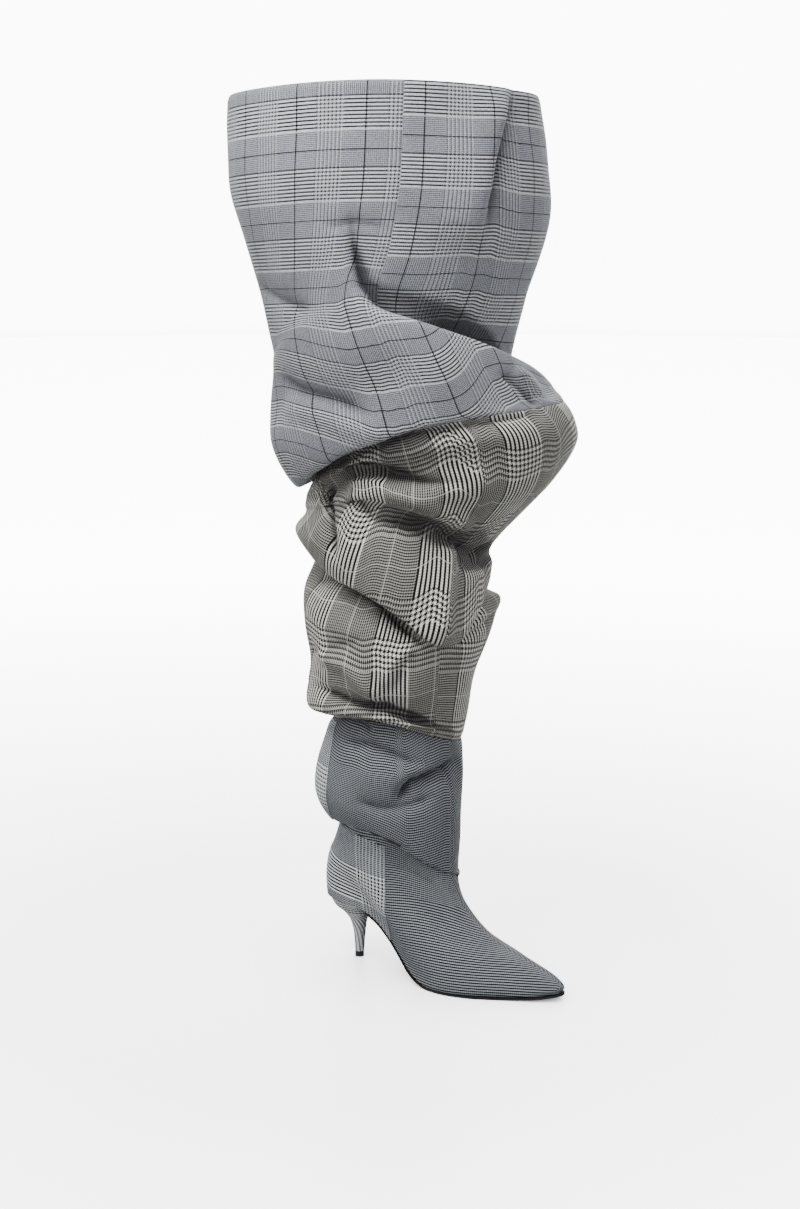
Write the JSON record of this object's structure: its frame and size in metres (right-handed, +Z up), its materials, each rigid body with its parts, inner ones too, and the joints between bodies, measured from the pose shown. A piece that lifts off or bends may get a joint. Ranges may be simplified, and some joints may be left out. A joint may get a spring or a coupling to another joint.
{
  "type": "thigh-high boot",
  "caption": "Slouched thigh-high boot of checked wool cloth with a pointed toe, slim covered heel and wide open collar; right boot, empty, standing.",
  "frame": {"origin": "middle of the heel tip's floor face", "axes": "+X from the heel to the toe, +Y to the inner side of the right foot, +Z up the leg"},
  "size_m": [0.3423, 0.2811, 0.868],
  "materials": {
    "sole_leather": "satin",
    "insole_leather": "matte",
    "tip_rubber": "matte",
    "heel_cloth": "woven",
    "foot_cloth": "woven",
    "back_cloth": "woven",
    "middle_cloth": "woven",
    "top_cloth": "woven"
  },
  "bodies": {
    "root": {"outsole": "sole_leather", "insole": "insole_leather", "heel": "heel_cloth", "heel_tip": "tip_rubber", "upper": "foot_cloth", "heel_counter": "back_cloth", "back_panel": "back_cloth", "shaft_middle": "middle_cloth", "shaft_top": "top_cloth"}
  },
  "joints": []
}
